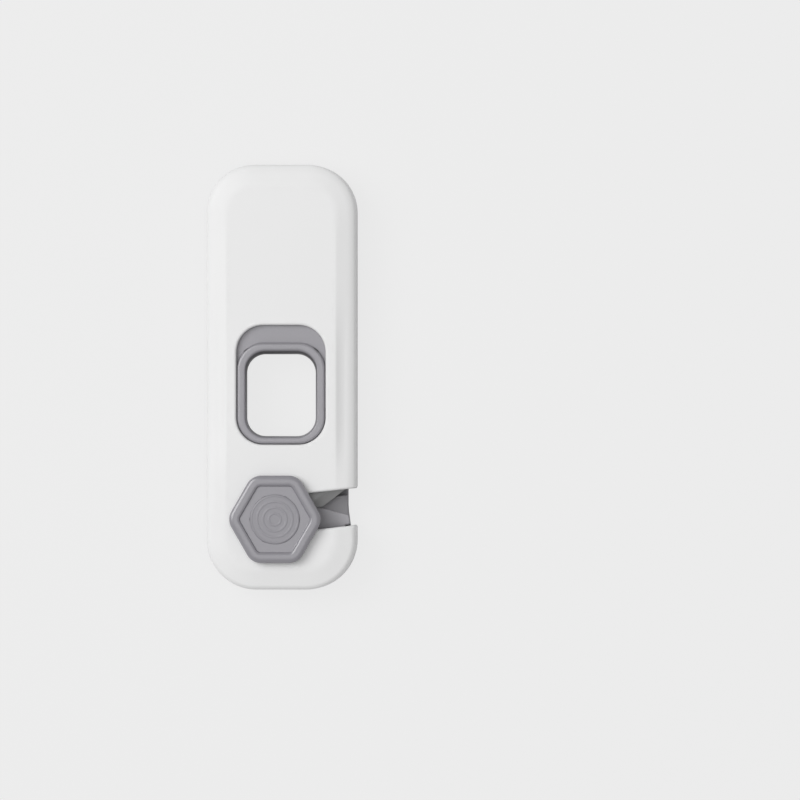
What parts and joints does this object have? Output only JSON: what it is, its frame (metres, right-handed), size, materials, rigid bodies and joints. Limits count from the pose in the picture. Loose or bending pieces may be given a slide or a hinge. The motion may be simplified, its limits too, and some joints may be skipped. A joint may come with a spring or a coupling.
{
  "type": "cabinet safety lock",
  "caption": "Adhesive childproof lock: a long swing arm pivots on one pad and its sprung finger ring draws a bolt off the post of a hexagon-headed catch.",
  "frame": {"origin": "on the door's surface, under the middle of the arm's outline; the two foam pads lie on z = 0", "axes": "+Z away from the door, +Y along the arm from the catch to the pivot, +X towards the notch"},
  "size_m": [0.0448, 0.1274, 0.0203],
  "materials": {
    "white_plastic": "smooth moulded ABS with a satin gloss",
    "ring_plastic": "fine-textured mid grey moulding",
    "disc_plastic": "fine-textured mid grey moulding with plain raised rings",
    "bolt_plastic": "low-friction dark grey moulding",
    "grey_plastic": "plain grey moulding",
    "dark_plastic": "plain dark grey moulding",
    "bush_plastic": "natural low-friction bearing plastic",
    "foam_pad": "closed-cell foam with adhesive on both faces",
    "zinc_steel": "bright zinc plate",
    "screw_steel": "zinc-plated screw, cross slot",
    "spring_wire": "drawn spring wire"
  },
  "bodies": {
    "mount": {"pivot_pad": "foam_pad", "pivot_base": "grey_plastic", "spring_washer": "zinc_steel", "pivot_washer": "zinc_steel", "pivot_screw": "screw_steel"},
    "arm": {"front_shell": "white_plastic", "rear_chassis": "dark_plastic", "pivot_bush": "bush_plastic", "case_screws": "screw_steel", "spring_rods": "zinc_steel", "spring_left": "spring_wire", "spring_right": "spring_wire"},
    "slider": {"ring_slider": "ring_plastic", "latch_bolt": "bolt_plastic", "bolt_screws": "screw_steel"},
    "catch": {"catch_pad": "foam_pad", "catch_base": "grey_plastic", "post_sleeve": "grey_plastic", "head_washer": "bush_plastic", "head_screw": "screw_steel"},
    "head": {"hex_head": "ring_plastic", "head_disc": "disc_plastic"}
  },
  "joints": [
    {"name": "arm_swivel", "type": "hinge", "parent": "mount", "child": "arm", "pos_m": [0, 0.045, 0.008], "axis": [0, 0, 1], "continuous": true},
    {"name": "ring_slide", "type": "slide", "parent": "arm", "child": "slider", "axis": [0, 1, 0], "range_m": [0, 0.0052], "stiffness_N_per_m": 250, "springref_m": -0.008, "deforming": ["spring_left", "spring_right"]},
    {"name": "catch_play", "type": "slide", "parent": "arm", "child": "catch", "axis": [1, 0, 0], "range_m": [0, 0.0012]},
    {"name": "head_spin", "type": "hinge", "parent": "catch", "child": "head", "pos_m": [-0.0016, -0.0426, 0.0179], "axis": [0, 0, 1], "continuous": true}
  ]
}
